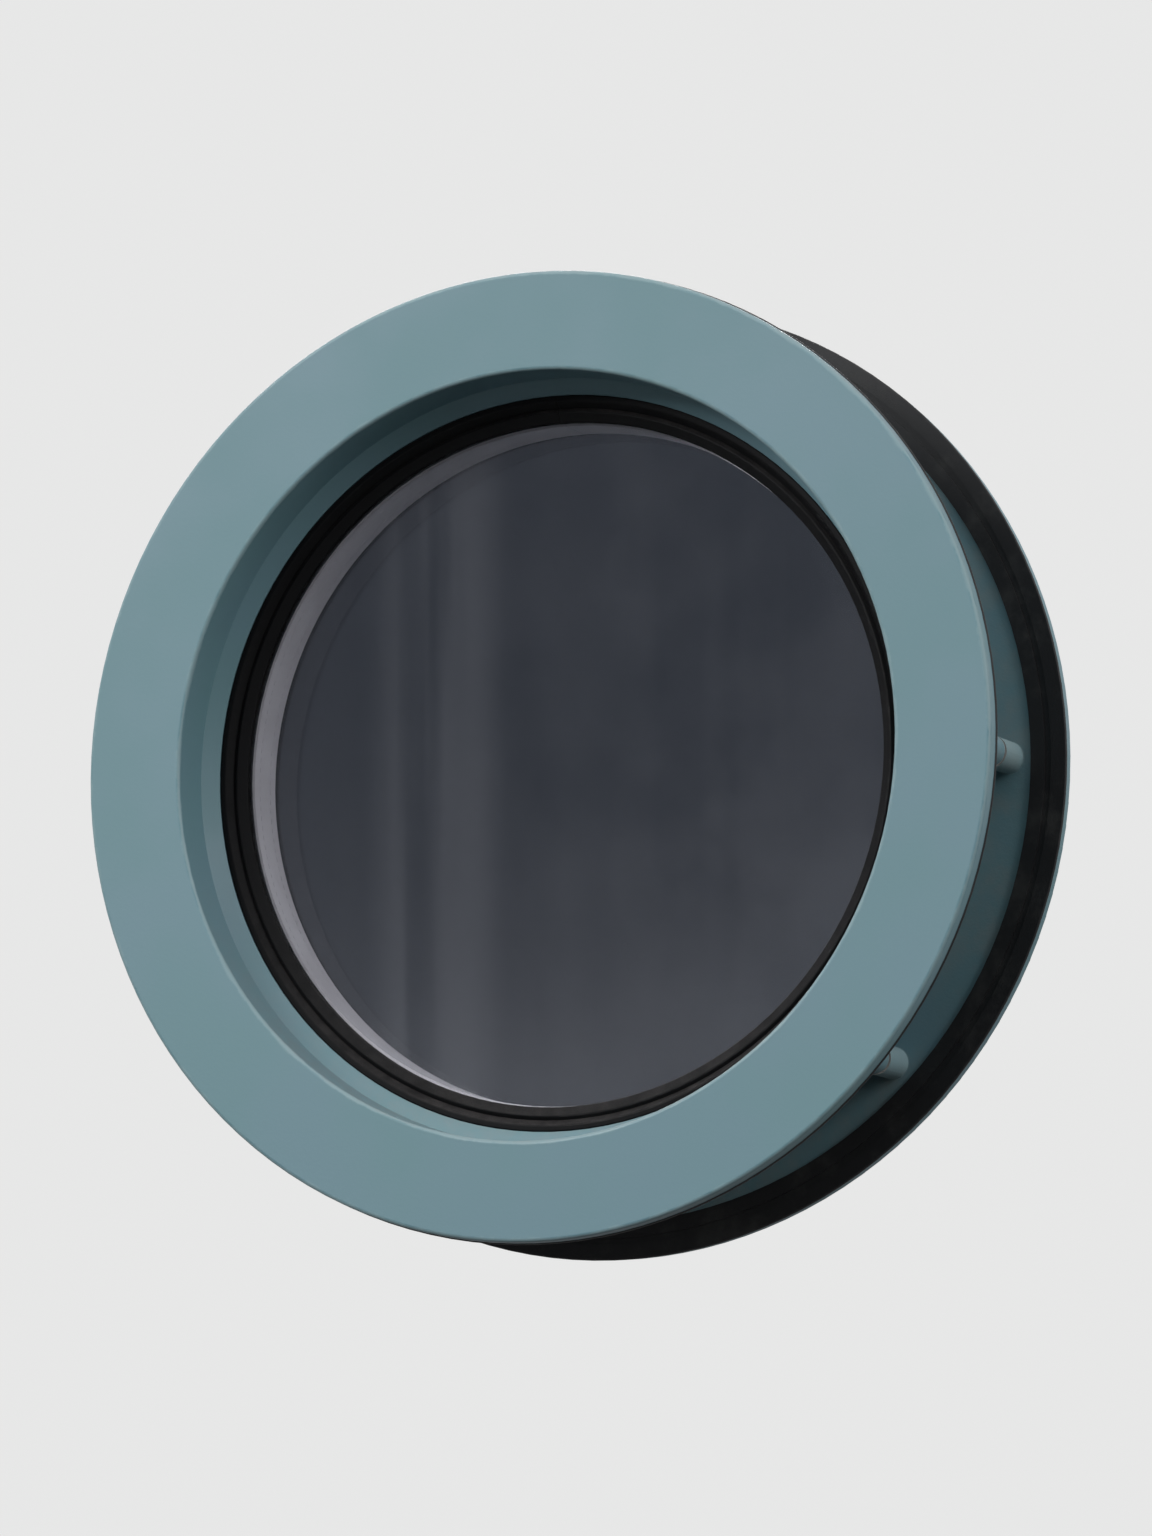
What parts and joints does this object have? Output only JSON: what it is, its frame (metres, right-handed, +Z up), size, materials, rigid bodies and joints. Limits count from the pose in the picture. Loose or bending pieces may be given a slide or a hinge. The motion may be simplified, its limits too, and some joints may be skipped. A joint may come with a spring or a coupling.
{
  "type": "porthole window",
  "caption": "Round fixed porthole window for a door leaf: a flat painted ring flange, a round reveal with a bevelled lip, sealed double glazing and an inner ring that clamps it.",
  "frame": {"origin": "centre of the plane in which the outer leaf seal meets the door leaf's outer face", "axes": "+Y through the window from outdoors to indoors, +Z up, +X to the right as seen from outdoors"},
  "size_m": [0.3008, 0.0714, 0.3008],
  "materials": {
    "frame_paint": "satin",
    "seal_rubber": "matte",
    "gasket_rubber": "satin",
    "clear_glass": "polished",
    "tinted_glass": "polished",
    "spacer_aluminium": "satin",
    "key_steel": "satin",
    "desiccant": "matte",
    "butyl": "matte",
    "edge_sealant": "matte",
    "block_plastic": "satin",
    "screw_steel": "satin",
    "insert_brass": "satin"
  },
  "bodies": {
    "root": {"outer_frame": "frame_paint", "inner_frame": "frame_paint", "outer_leaf_seal": "seal_rubber", "inner_leaf_seal": "seal_rubber", "outer_glazing_gasket": "gasket_rubber", "inner_glazing_gasket": "gasket_rubber", "outer_pane": "clear_glass", "inner_pane": "tinted_glass", "spacer_bar": "spacer_aluminium", "spacer_key": "key_steel", "desiccant_fill": "desiccant", "outer_butyl_seal": "butyl", "inner_butyl_seal": "butyl", "edge_seal": "edge_sealant", "setting_block_left": "block_plastic", "setting_block_right": "block_plastic", "location_block_right": "block_plastic", "location_block_upper_right": "block_plastic", "location_block_upper_left": "block_plastic", "location_block_left": "block_plastic", "frame_screws": "screw_steel", "threaded_inserts": "insert_brass"}
  },
  "joints": []
}
